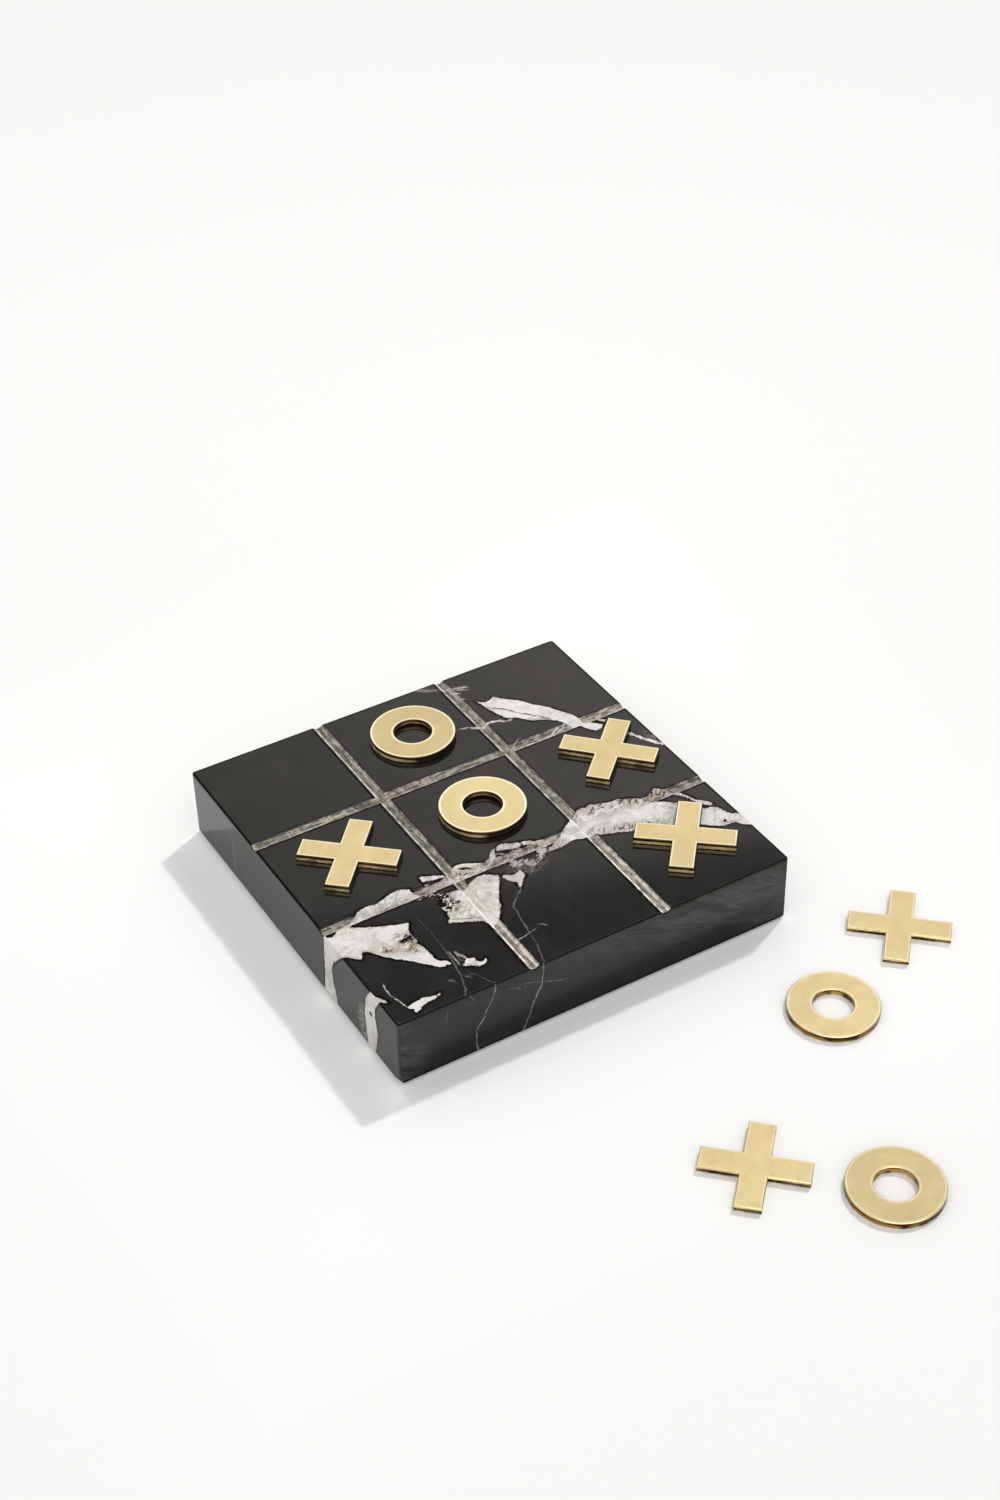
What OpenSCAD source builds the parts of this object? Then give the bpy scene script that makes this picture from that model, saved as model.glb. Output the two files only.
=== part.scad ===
// Tic-tac-toe set: a black marble slab with four sawn grooves and nine flat brass pieces.
// X runs along the front edge, Y from the front edge to the back, Z up.
// The origin lies on the table, under the middle of the slab.

/* [Slab] */
// Width of the slab, along the front edge
board_w = 150; // [120:1:220]
// Depth of the slab, front to back
board_d = 150; // [120:1:220]
// Thickness of the slab
slab_t = 25.8; // [12:0.1:40]
// Radius of the upright corners
corner_r = 1.2; // [0.4:0.1:6]
// Width of the small flat along every top and bottom edge
arris = 0.4; // [0.2:0.1:1.5]

/* [Grooves] */
// Distance between the two grooves of a pair, centre to centre
groove_pitch = 50.4; // [36:0.1:70]
// Width of a groove at the top face
groove_w = 3.8; // [2:0.1:6]
// Depth of a groove at its middle
groove_depth = 0.9; // [0.4:0.1:1.8]
// How far the grid sits to the right of the slab's middle
grid_shift_x = 0.25; // [-2:0.05:2]
// How far the grid sits behind the slab's middle
grid_shift_y = 0.95; // [-2:0.05:2]

/* [Brass plate] */
// Thickness of the plate that all nine pieces are cut from
plate_t = 2.5; // [1.5:0.1:5]
// Bevel on every edge of a piece
bevel = 0.3; // [0.1:0.05:0.6]

/* [Rings] */
// Outer diameter of a ring
ring_d = 31; // [22:0.5:40]
// Diameter of the hole in a ring
ring_hole_d = 13.5; // [8:0.5:18]

/* [Crosses] */
// Length of each bar of a cross, tip to tip
cross_l = 35; // [24:0.5:44]
// Width of each bar of a cross
cross_w = 8.7; // [5:0.1:12]

/* [Pads] */
// Diameter of a pad under the slab
pad_d = 12; // [8:0.5:20]
// Thickness of a pad
pad_t = 1; // [0.6:0.1:3]
// Distance from the slab's sides to a pad's centre
pad_inset = 14; // [11:0.5:30]

/* [Places of the pieces on the slab] */
// Back ring, right of the middle of its cell
ring_back_x = 1.05; // [-8:0.05:8]
// Back ring, behind the middle of its cell
ring_back_y = 0.35; // [-8:0.05:8]
// Centre ring, right of the middle of its cell
ring_centre_x = 1.15; // [-8:0.05:8]
// Centre ring, behind the middle of its cell
ring_centre_y = 1.05; // [-8:0.05:8]
// Left cross, right of the middle of its cell
cross_left_x = 0.4; // [-8:0.05:8]
// Left cross, behind the middle of its cell
cross_left_y = 3.05; // [-8:0.05:8]
// Left cross, turned from the front edge
cross_left_turn = 48; // [0:0.5:90]
// Right cross, right of the middle of its cell
cross_right_x = 4.85; // [-8:0.05:8]
// Right cross, behind the middle of its cell
cross_right_y = 4.05; // [-8:0.05:8]
// Right cross, turned from the front edge
cross_right_turn = 44; // [0:0.5:90]
// Front right cross, right of the middle of its cell
cross_front_right_x = 1.05; // [-8:0.05:8]
// Front right cross, behind the middle of its cell
cross_front_right_y = 1.1; // [-8:0.05:8]
// Front right cross, turned from the front edge
cross_front_right_turn = 50.5; // [0:0.5:90]

/* [Places of the pieces on the table] */
// Rear loose cross, right of the slab's front right corner
cross_loose_back_x = 29; // [-150:0.1:60]
// Rear loose cross, behind the slab's front right corner
cross_loose_back_y = -25.6; // [-160:0.1:-22]
// Rear loose cross, turned from the front edge
cross_loose_back_turn = 47.5; // [0:0.5:90]
// Rear loose ring, right of the slab's front right corner
ring_loose_back_x = -13.3; // [-150:0.1:60]
// Rear loose ring, behind the slab's front right corner
ring_loose_back_y = -44.4; // [-160:0.1:-22]
// Front loose cross, right of the slab's front right corner
cross_loose_front_x = -75.7; // [-150:0.1:60]
// Front loose cross, behind the slab's front right corner
cross_loose_front_y = -87.6; // [-160:0.1:-22]
// Front loose cross, turned from the front edge
cross_loose_front_turn = 46.5; // [0:0.5:90]
// Front loose ring, right of the slab's front right corner
ring_loose_front_x = -44.6; // [-150:0.1:60]
// Front loose ring, behind the slab's front right corner
ring_loose_front_y = -116.3; // [-160:0.1:-22]

/* [Hidden] */
$fn = 96;
slab_top = pad_t + slab_t;
// Groove centre lines: the two that run front to back, then the two that run left to right
groove_x = [grid_shift_x - groove_pitch / 2, grid_shift_x + groove_pitch / 2];
groove_y = [grid_shift_y - groove_pitch / 2, grid_shift_y + groove_pitch / 2];
// A round cutter that leaves the stated width and depth
cutter_r = (pow(groove_w / 2, 2) + pow(groove_depth, 2)) / (2 * groove_depth);
cutter_z = slab_top - groove_depth + cutter_r;
// Middles of the cells: outer cells lie between a groove and the slab's edge
cell_x = [(groove_x[0] - board_w / 2) / 2, grid_shift_x, (groove_x[1] + board_w / 2) / 2];
cell_y = [(groove_y[0] - board_d / 2) / 2, grid_shift_y, (groove_y[1] + board_d / 2) / 2];
front_right = [board_w / 2, -board_d / 2];
cut_over = 1;
stone = [0.17, 0.16, 0.155];
brass = [0.85, 0.74, 0.48];
felt = [0.12, 0.12, 0.12];

// Rectangle with its four corners cut off at 45 degrees
module bevelled_rect(w, h, b) {
  polygon([[-w / 2 + b, 0], [w / 2 - b, 0], [w / 2, b], [w / 2, h - b],
           [w / 2 - b, h], [-w / 2 + b, h], [-w / 2, h - b], [-w / 2, b]]);
}

// Block of the given width along X, depth along Y and height, bevelled along its top and bottom edges
module bevelled_block(w, d, h, b) {
  intersection() {
    translate([0, d / 2, 0])
      rotate([90, 0, 0])
        linear_extrude(d) bevelled_rect(w, h, b);
    translate([-w / 2, 0, 0])
      rotate([90, 0, 90])
        linear_extrude(w) bevelled_rect(d, h, b);
  }
}

// Outline of the slab, with round corners
module slab_outline() {
  square([board_w - 2 * corner_r, board_d], center = true);
  square([board_w, board_d - 2 * corner_r], center = true);
  for (sx = [-1, 1], sy = [-1, 1])
    translate([sx * (board_w / 2 - corner_r), sy * (board_d / 2 - corner_r)])
      circle(r = corner_r);
}

module slab() {
  color(stone)
    difference() {
      translate([0, 0, pad_t])
        intersection() {
          linear_extrude(slab_t) slab_outline();
          bevelled_block(board_w, board_d, slab_t, arris);
        }
      for (x = groove_x)
        translate([x, board_d / 2 + cut_over, cutter_z])
          rotate([90, 0, 0])
            cylinder(r = cutter_r, h = board_d + 2 * cut_over);
      for (y = groove_y)
        translate([-board_w / 2 - cut_over, y, cutter_z])
          rotate([0, 90, 0])
            cylinder(r = cutter_r, h = board_w + 2 * cut_over);
    }
}

// Round pad under one corner of the slab; sx and sy are the corner's signs
module pad(sx, sy) {
  color(felt)
    translate([sx * (board_w / 2 - pad_inset), sy * (board_d / 2 - pad_inset), 0])
      cylinder(d = pad_d, h = pad_t);
}

// Ring with bevelled rims, standing on z
module ring(place, z) {
  inner = ring_hole_d / 2;
  wide = (ring_d - ring_hole_d) / 2;
  color(brass)
    translate([place[0], place[1], z])
      rotate_extrude()
        translate([inner + wide / 2, 0])
          bevelled_rect(wide, plate_t, bevel);
}

// Cross of two equal bars, standing on z
module cross(place, z, turn) {
  color(brass)
    translate([place[0], place[1], z])
      rotate([0, 0, turn])
        union() {
          bevelled_block(cross_l, cross_w, plate_t, bevel);
          bevelled_block(cross_w, cross_l, plate_t, bevel);
        }
}

module pad_front_left() { pad(-1, -1); }
module pad_front_right() { pad(1, -1); }
module pad_back_left() { pad(-1, 1); }
module pad_back_right() { pad(1, 1); }
module ring_back() { ring([cell_x[1] + ring_back_x, cell_y[2] + ring_back_y], slab_top); }
module ring_centre() { ring([cell_x[1] + ring_centre_x, cell_y[1] + ring_centre_y], slab_top); }
module cross_left() {
  cross([cell_x[0] + cross_left_x, cell_y[1] + cross_left_y], slab_top, cross_left_turn);
}
module cross_right() {
  cross([cell_x[2] + cross_right_x, cell_y[1] + cross_right_y], slab_top, cross_right_turn);
}
module cross_front_right() {
  cross([cell_x[2] + cross_front_right_x, cell_y[0] + cross_front_right_y], slab_top,
        cross_front_right_turn);
}
module ring_loose_back() { ring(front_right + [ring_loose_back_x, ring_loose_back_y], 0); }
module ring_loose_front() { ring(front_right + [ring_loose_front_x, ring_loose_front_y], 0); }
module cross_loose_back() {
  cross(front_right + [cross_loose_back_x, cross_loose_back_y], 0, cross_loose_back_turn);
}
module cross_loose_front() {
  cross(front_right + [cross_loose_front_x, cross_loose_front_y], 0, cross_loose_front_turn);
}

slab();
pad_front_left();
pad_front_right();
pad_back_left();
pad_back_right();
ring_back();
ring_centre();
cross_left();
cross_right();
cross_front_right();
ring_loose_back();
ring_loose_front();
cross_loose_back();
cross_loose_front();
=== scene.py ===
import math
from functools import partial

import bmesh
import bpy
import numpy as np
from mathutils import Matrix, Quaternion, Vector, noise


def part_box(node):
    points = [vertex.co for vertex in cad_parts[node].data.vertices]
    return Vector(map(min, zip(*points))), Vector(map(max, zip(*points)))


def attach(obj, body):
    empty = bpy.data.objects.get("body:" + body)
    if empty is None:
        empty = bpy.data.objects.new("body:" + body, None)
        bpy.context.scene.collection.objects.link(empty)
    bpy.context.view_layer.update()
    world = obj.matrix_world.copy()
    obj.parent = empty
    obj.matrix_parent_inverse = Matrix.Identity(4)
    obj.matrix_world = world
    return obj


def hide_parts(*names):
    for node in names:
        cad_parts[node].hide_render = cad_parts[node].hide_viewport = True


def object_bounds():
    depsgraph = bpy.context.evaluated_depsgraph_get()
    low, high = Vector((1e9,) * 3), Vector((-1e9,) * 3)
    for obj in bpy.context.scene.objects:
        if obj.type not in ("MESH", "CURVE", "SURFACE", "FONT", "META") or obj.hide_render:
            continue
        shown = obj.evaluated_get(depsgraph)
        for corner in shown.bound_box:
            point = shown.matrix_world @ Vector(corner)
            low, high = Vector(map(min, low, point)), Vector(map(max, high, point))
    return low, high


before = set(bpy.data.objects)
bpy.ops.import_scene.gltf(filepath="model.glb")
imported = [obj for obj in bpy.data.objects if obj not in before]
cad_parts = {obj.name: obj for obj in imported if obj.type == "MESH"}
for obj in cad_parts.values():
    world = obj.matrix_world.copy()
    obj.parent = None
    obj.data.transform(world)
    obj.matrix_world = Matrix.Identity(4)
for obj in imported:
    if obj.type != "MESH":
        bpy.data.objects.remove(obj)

mm = 0.001
scene = bpy.context.scene
scene.view_settings.view_transform = "Standard"
cadLow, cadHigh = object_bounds()
print("frame loaded:", len(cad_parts), "nodes")


# Helpers for objects and meshes

def addObject(name, data):
    added = bpy.data.objects.new(name, data)
    scene.collection.objects.link(added)
    return added


def meshFrom(bm, name):
    mesh = bpy.data.meshes.new(name)
    bm.to_mesh(mesh)
    bm.free()
    return mesh


def bevelRims(bm, width, steps, leastAngle=60.0):
    rims = [edge for edge in bm.edges if edge.calc_face_angle(0.0) > math.radians(leastAngle)]
    bmesh.ops.bevel(bm, geom=rims, affect="EDGES", offset=width, offset_type="OFFSET", segments=steps,
                    profile=0.5, material=-1)


def finishPiece(name, mesh, materials, body, replaced):
    for material in materials:
        mesh.materials.append(material)
    piece = addObject(name, mesh)
    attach(piece, body)
    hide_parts(replaced)


# Camera, at the photograph's viewing angle

cameraSetup = {
    "place": (-0.3120, -0.5516, 0.5474),
    "aim": (0.0409, 0.0573, 0.0),
    "roll": -1.46,       # degrees, the right side a little low
    "lens": 57.23,
    "sensor": 36.0,      # along the picture's long side
    "nearest": 0.01,
    "farthest": 50.0,
}


def makeCamera():
    data = bpy.data.cameras.new("camera")
    data.lens = cameraSetup["lens"]
    data.sensor_width = cameraSetup["sensor"]
    data.clip_start = cameraSetup["nearest"]
    data.clip_end = cameraSetup["farthest"]
    camera = addObject("camera", data)
    place = Vector(cameraSetup["place"])
    camera.location = place
    look = Vector(cameraSetup["aim"]) - place
    camera.rotation_mode = "QUATERNION"
    roll = Quaternion((0, 0, 1), math.radians(cameraSetup["roll"]))
    camera.rotation_quaternion = look.to_track_quat("-Z", "Y") @ roll
    scene.camera = camera


makeCamera()
print("camera set")


# Node helpers: nodes go into the tree that was started last, and each call returns its result's socket

current = {}


def startNodes(holder):
    holder.use_nodes = True
    current["tree"] = holder.node_tree


def setInputs(node, inputs):
    for key, value in inputs.items():
        socket = node.inputs[key]
        if isinstance(value, bpy.types.NodeSocket):
            current["tree"].links.new(value, socket)
        else:
            socket.default_value = (*value, 1.0) if socket.type == "RGBA" else value


def addNode(kind, inputs=None, **settings):
    node = current["tree"].nodes.new(kind)
    for name, value in settings.items():
        setattr(node, name, value)
    setInputs(node, inputs or {})
    return node


def calc(operation, first, second=0.0):
    return addNode("ShaderNodeMath", {0: first, 1: second}, operation=operation).outputs[0]


times = partial(calc, "MULTIPLY")
plus = partial(calc, "ADD")
minus = partial(calc, "SUBTRACT")
larger = partial(calc, "MAXIMUM")
opposite = partial(minus, 1.0)


def ramp(value, low, high, outLow=0.0, outHigh=1.0):
    limits = {"Value": value, 1: low, 2: high, 3: outLow, 4: outHigh}
    return addNode("ShaderNodeMapRange", limits, interpolation_type="SMOOTHSTEP").outputs[0]


def mixColour(factor, first, second):
    inputs = {0: factor, 6: first, 7: second}
    return addNode("ShaderNodeMix", inputs, data_type="RGBA").outputs[2]


def layered(colour, tones, layers):     # layers are (how much, which tone), the topmost last
    for share, tone in layers:
        colour = mixColour(share, colour, tones[tone])
    return colour


def mixValue(factor, first, second):
    return addNode("ShaderNodeMix", {0: factor, 2: first, 3: second}, data_type="FLOAT").outputs[0]


def scaled(vector, factor):
    return addNode("ShaderNodeVectorMath", {0: vector, 3: factor}, operation="SCALE").outputs[0]


def towards(vector, way):               # 1 where a unit vector points that way, -1 where it points back
    inputs = {0: vector, 1: way}
    return addNode("ShaderNodeVectorMath", inputs, operation="DOT_PRODUCT").outputs["Value"]


def noiseAt(vector, scale, detail=2.0, rough=0.5, distort=0.0):
    inputs = {"Vector": vector, "Scale": scale, "Detail": detail, "Roughness": rough, "Distortion": distort}
    return addNode("ShaderNodeTexNoise", inputs).outputs[0]


def swing(vector, scale, reach, detail=2.0):    # noise to either side of zero
    return times(minus(noiseAt(vector, scale, detail), 0.5), reach)


def stretched(vector, size, turn=0.0, middle=(0.0, 0.0, 0.0), lean=0.0):
    inputs = {"Vector": vector, "Location": middle, "Rotation": (0.0, lean, turn), "Scale": size}
    return addNode("ShaderNodeMapping", inputs, vector_type="TEXTURE").outputs[0]


def nearLine(value, place, reach):      # 1 at the place and 0 from the reach on
    away = calc("ABSOLUTE", minus(value, place))
    return ramp(away, reach * 0.4, reach, 1.0, 0.0)


def bump(height, depth, strength):
    inputs = {"Height": height, "Distance": depth * mm, "Strength": strength}
    return addNode("ShaderNodeBump", inputs).outputs[0]


def readValue(name):
    return addNode("ShaderNodeAttribute", attribute_name=name).outputs["Fac"]


def coordinates(kind):
    return addNode("ShaderNodeTexCoord").outputs[kind]


def objectMillimetres():
    return scaled(coordinates("Object"), 1 / mm)


def newMaterial(name):
    material = bpy.data.materials.new(name)
    startNodes(material)
    return material, material.node_tree.nodes["Principled BSDF"]


# Studio: pale floor, white wall behind, soft light overhead and one key light from the right

studio = {
    "floorRadius": 8.0,
    "floorSegments": 96,
    "floorDrop": 0.02 * mm,             # keeps the floor just under the pieces' flat undersides
    "floorRough": 0.9,
    "floorBright": (0.950, 0.943, 0.930),
    "floorDim": (0.893, 0.887, 0.876),
    "paintedLightMiddle": (0.14, 0.20, 0.0),    # middle of a pool of light painted into the floor's colour
    "paintedLightReach": 0.65,
    "glowFar": 0.052,                   # the floor near the board is lit up for the camera alone
    "glowFarReach": (0.02, 0.16),
    "glowLeft": 0.145,
    "glowLeftReach": (0.0, 0.014),
    "glowFront": 0.06,
    "glowFrontReach": (0.0, 0.004),
    "glowEdge": 0.002,
    "keyDirection": (0.56, 0.26, 0.785),
    "keyStrength": 1.12,
    "keyAngle": 3.2,                    # degrees, sets how soft the shadow's edge is
    "wallEdge": (-0.283, -0.945, 1.0),  # how far a direction is above the wall's top edge
    "wallEdgeShift": 0.048,
    "wallEdgeFade": (-0.032, 0.002),
    "wallColour": (1.0, 0.95, 0.88),
    "wallLeft": 0.55,
    "wallRight": 1.0,
    "wallFade": (0.2, 0.5),             # from left to right
    "openingColour": (1.0, 1.0, 1.0),
    "gapLevel": 0.25,
    "gapFade": (0.05, 0.12),            # by height above the wall's edge, as softboxTop and frontFade
    "ceilingLevel": 0.66,
    "rightLevel": 0.36,
    "rightFade": (0.3, 0.8),
    "softboxLevel": 1.12,
    "softboxTop": (0.40, 0.60),
    "softboxLeft": (0.0, 0.2),
    "softboxRight": (0.6, 0.85),
    "frontLevel": 1.04,
    "frontFade": (0.95, 1.25),
    "cardLevel": 2.4,                   # bright card in front, for reflections only
}


def floorGlow(place):
    axes = addNode("ShaderNodeSeparateXYZ", {0: place}).outputs
    edge = cadHigh.y
    outward = minus(larger(calc("ABSOLUTE", axes[0]), calc("ABSOLUTE", axes[1])), edge)
    left = ramp(axes[0], -edge - studio["glowEdge"], -edge, 1.0, 0.0)
    notBehind = ramp(axes[1], edge - studio["glowEdge"], edge, 1.0, 0.0)
    nearLeft = ramp(outward, *studio["glowLeftReach"], studio["glowLeft"], 0.0)
    nearFront = ramp(outward, *studio["glowFrontReach"], studio["glowFront"], 0.0)
    near = mixValue(left, nearFront, times(nearLeft, notBehind))
    far = ramp(outward, *studio["glowFarReach"], studio["glowFar"], 0.0)
    seen = addNode("ShaderNodeLightPath").outputs["Is Camera Ray"]
    return times(plus(near, far), seen)


def makeFloor():
    bm = bmesh.new()
    bmesh.ops.create_circle(bm, cap_ends=True, segments=studio["floorSegments"],
                            radius=studio["floorRadius"])
    bmesh.ops.translate(bm, verts=bm.verts, vec=(0, 0, -studio["floorDrop"]))
    mesh = meshFrom(bm, "studio_floor")
    material, shader = newMaterial("studioFloor")
    place = coordinates("Object")
    # the floor's colour is lighter near one spot and dimmer away from it: a painted pool of light
    away = addNode("ShaderNodeVectorMath", {0: place, 1: studio["paintedLightMiddle"]}, operation="DISTANCE")
    fade = ramp(away.outputs["Value"], 0.0, studio["paintedLightReach"])
    setInputs(shader, {
        "Base Color": mixColour(fade, studio["floorBright"], studio["floorDim"]),
        "Roughness": studio["floorRough"],
        "Specular IOR Level": 0.0,
        "Emission Color": studio["floorBright"],
        "Emission Strength": floorGlow(place),
    })
    mesh.materials.append(material)
    floor = addObject("studio_floor", mesh)


def makeKeyLight():
    data = bpy.data.lights.new("key_light", "SUN")
    data.energy = studio["keyStrength"]
    data.angle = math.radians(studio["keyAngle"])
    lamp = addObject("key_light", data)
    lamp.rotation_euler = Vector(studio["keyDirection"]).to_track_quat("Z", "Y").to_euler()
    lamp.visible_glossy = False    # the brass mirrors the soft surroundings only


def makeSurroundings():
    world = bpy.data.worlds.new("studio")
    scene.world = world
    startNodes(world)
    world.node_tree.nodes.clear()
    aim = coordinates("Generated")
    paths = addNode("ShaderNodeLightPath").outputs
    above = plus(towards(aim, studio["wallEdge"]), studio["wallEdgeShift"])
    sideways = addNode("ShaderNodeSeparateXYZ", {0: aim}).outputs[0]
    overhead = ramp(sideways, *studio["rightFade"], studio["ceilingLevel"], studio["rightLevel"])
    softbox = ramp(above, *studio["softboxTop"], 1.0, 0.0)
    softbox = times(softbox, ramp(sideways, *studio["softboxLeft"]))
    softbox = times(softbox, ramp(sideways, *studio["softboxRight"], 1.0, 0.0))
    overhead = mixValue(softbox, overhead, studio["softboxLevel"])
    front = mixValue(paths["Is Glossy Ray"], studio["frontLevel"], studio["cardLevel"])
    overhead = mixValue(ramp(above, *studio["frontFade"]), overhead, front)
    opening = mixValue(ramp(above, *studio["gapFade"]), studio["gapLevel"], overhead)
    wall = ramp(sideways, *studio["wallFade"], studio["wallLeft"], studio["wallRight"])
    over = ramp(above, *studio["wallEdgeFade"])
    colour = mixColour(over, studio["wallColour"], studio["openingColour"])
    colour = scaled(colour, mixValue(over, wall, opening))
    colour = mixColour(paths["Is Camera Ray"], colour, studio["floorDim"])
    shade = addNode("ShaderNodeBackground", {"Color": colour, "Strength": 1.0})
    addNode("ShaderNodeOutputWorld", {"Surface": shade.outputs[0]})


makeFloor()
makeKeyLight()
makeSurroundings()
print("studio ready")


# Marble slab: a fine sheet for the top, sawn grooves, sides drawn down from its rim

slabShape = {
    "topCells": 226,
    "cornerRadius": 1.2 * mm,
    "arris": 0.4 * mm,
    "arrisSteps": 3,
    "sideSteps": 22,
    "grooveX": (-24.95 * mm, 25.45 * mm),   # the two that run front to back
    "grooveY": (-24.25 * mm, 26.15 * mm),   # the two that run left to right
    "grooveWidth": 3.8 * mm,
    "grooveDepth": 0.9 * mm,
    "grooveLines": (-1.0, -0.72, -0.36, 0.36, 0.72, 1.0),   # shares of the half width
    "grooveWobble": 0.14,                   # how ragged the saw left its edges, of the half width
    "leastWobble": -0.2,
    "wobbleLength": 2.4 * mm,
    # how strongly the top rim gets the dark, dull edge line, at the front and at the back: painted shade
    "frontRimShade": 0.8,
    "backRimShade": 2.2,
    "chip": ((0.0, 4.7, 0.0), (1.1, 0.0, 0.0), (0.0, 0.5, 4.4)),    # off the bottom front left corner, mm
    "creaseAngle": 24.0,
}

slabLow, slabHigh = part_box("slab")
slabHalf = slabHigh.x
slabTop = slabHigh.z
slabHeight = slabHigh.z - slabLow.z
slabCore = slabHalf - slabShape["cornerRadius"]


def grooveSink(x, y):
    sink = 0.0
    halfWidth = slabShape["grooveWidth"] / 2
    for centres, across, along in ((slabShape["grooveX"], x, y), (slabShape["grooveY"], y, x)):
        for centre in centres:
            offset = (across - centre) / halfWidth
            if abs(offset) > 1.0 + slabShape["grooveWobble"]:
                continue
            spot = Vector((along / slabShape["wobbleLength"], centre / mm, math.copysign(1.0, offset)))
            wobble = max(noise.noise(spot), slabShape["leastWobble"])
            reach = 1.0 + slabShape["grooveWobble"] * wobble
            sink = max(sink, slabShape["grooveDepth"] * (1.0 - (offset / reach) ** 2))
    return sink


def cutAcross(bm, axis, place):
    normal = Vector((0, 0, 0))
    normal[axis] = 1.0
    everything = bm.verts[:] + bm.edges[:] + bm.faces[:]
    bmesh.ops.bisect_plane(bm, geom=everything, dist=0.01 * mm, plane_co=normal * place, plane_no=normal)


def roundCorner(x, y):
    reach = slabShape["cornerRadius"] - slabShape["arris"]
    u = (abs(x) - slabCore) / reach
    v = (abs(y) - slabCore) / reach
    if u <= 0.0 or v <= 0.0:
        return x, y
    newX = slabCore + reach * u * math.sqrt(1.0 - v * v / 2)
    newY = slabCore + reach * v * math.sqrt(1.0 - u * u / 2)
    return math.copysign(newX, x), math.copysign(newY, y)


def rimPoint(x, y, inset):
    coreX = min(max(x, -slabCore), slabCore)
    coreY = min(max(y, -slabCore), slabCore)
    out = Vector((x - coreX, y - coreY)).normalized()
    reach = slabShape["cornerRadius"] - inset
    return coreX + out.x * reach, coreY + out.y * reach, min(abs(out.x), abs(out.y))


def sideLevels():
    arris = slabShape["arris"]
    turns = [math.pi / 2 * (step + 1) / slabShape["arrisSteps"] for step in range(slabShape["arrisSteps"])]
    upper = [(arris * (1 - math.cos(turn)), arris * (1 - math.sin(turn))) for turn in turns]
    drop = (slabHeight - 2 * arris) / slabShape["sideSteps"]
    middle = [(arris + drop * (step + 1), 0.0) for step in range(slabShape["sideSteps"])]
    lower = [(slabHeight - depth, inset) for depth, inset in reversed(upper[:-1])]
    return upper + middle + lower + [(slabHeight, arris)]


def drawSide(bm, rim, depth, inset):
    honed = bm.verts.layers.float["honed"]
    edged = bm.verts.layers.float["edged"]
    # the arris steps and the bottom 1.2 mm of the sides get the dark, dull edge line: painted shade along
    # the top edge and a painted contact shadow at the foot
    nearEdge = inset > 0.0 or depth > slabHeight - 3 * slabShape["arris"]
    drawn = bmesh.ops.extrude_edge_only(bm, edges=rim)["geom"]
    for vert in (item for item in drawn if isinstance(item, bmesh.types.BMVert)):
        vert[honed] = 1.0
        sink = grooveSink(vert.co.x, vert.co.y)
        x, y, corner = rimPoint(vert.co.x, vert.co.y, inset)
        # on the right the rounded vertical corners get the same painted shade
        worn = min(corner * 2, 1.0) if vert.co.x > 0.0 else 0.0
        vert[edged] = 1.0 if nearEdge else worn
        vert.co = (x, y, slabTop - sink - depth * (slabHeight - sink) / slabHeight)
    return [item for item in drawn if isinstance(item, bmesh.types.BMEdge) and item.is_boundary]


def breakCorner(bm):
    corner = Vector((-slabHalf, -slabHalf, slabLow.z))
    points = [corner + Vector(point) * mm for point in slabShape["chip"]]
    outward = (points[1] - points[0]).cross(points[2] - points[0])
    everything = bm.verts[:] + bm.edges[:] + bm.faces[:]
    bmesh.ops.bisect_plane(bm, geom=everything, plane_co=points[0], plane_no=outward, clear_outer=True)
    bmesh.ops.holes_fill(bm, edges=[edge for edge in bm.edges if edge.is_boundary])


def slabBlank():
    bm = bmesh.new()
    bm.verts.layers.float.new("honed")
    edged = bm.verts.layers.float.new("edged")
    inner = slabHalf - slabShape["arris"]
    cells = slabShape["topCells"]
    onTop = Matrix.Translation((0, 0, slabTop))
    bmesh.ops.create_grid(bm, x_segments=cells, y_segments=cells, size=inner, matrix=onTop)
    for axis, centres in ((0, slabShape["grooveX"]), (1, slabShape["grooveY"])):
        for centre in centres:
            for share in slabShape["grooveLines"]:
                cutAcross(bm, axis, centre + share * slabShape["grooveWidth"] / 2)
        for side in (-1, 1):
            cutAcross(bm, axis, side * slabCore)
    for vert in bm.verts:
        vert.co.z = slabTop - grooveSink(vert.co.x, vert.co.y)
        vert.co.x, vert.co.y = roundCorner(vert.co.x, vert.co.y)
    rim = [edge for edge in bm.edges if edge.is_boundary]
    # the top rim gets the painted edge shade too, reaching farther in at the back
    for vert in {vert for edge in rim for vert in edge.verts}:
        atFront = vert.co.x + vert.co.y < 0.0
        vert[edged] = slabShape["frontRimShade"] if atFront else slabShape["backRimShade"]
    for depth, inset in sideLevels():
        rim = drawSide(bm, rim, depth, inset)
    bmesh.ops.edgeloop_fill(bm, edges=rim)
    breakCorner(bm)
    bmesh.ops.recalc_face_normals(bm, faces=bm.faces)
    for face in bm.faces:
        face.smooth = True
    for edge in bm.edges:
        edge.smooth = edge.calc_face_angle(0.0) < math.radians(slabShape["creaseAngle"])
    return meshFrom(bm, "slab_marble")


# Veins, in millimetres: the top by x and y, the sides by the way along them and the depth below the top.
# patches and holes are closed outlines, strands and cracks are (half width, strength, points),
# the rest are soft spots (middle, half lengths, turn in degrees, strength)

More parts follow.
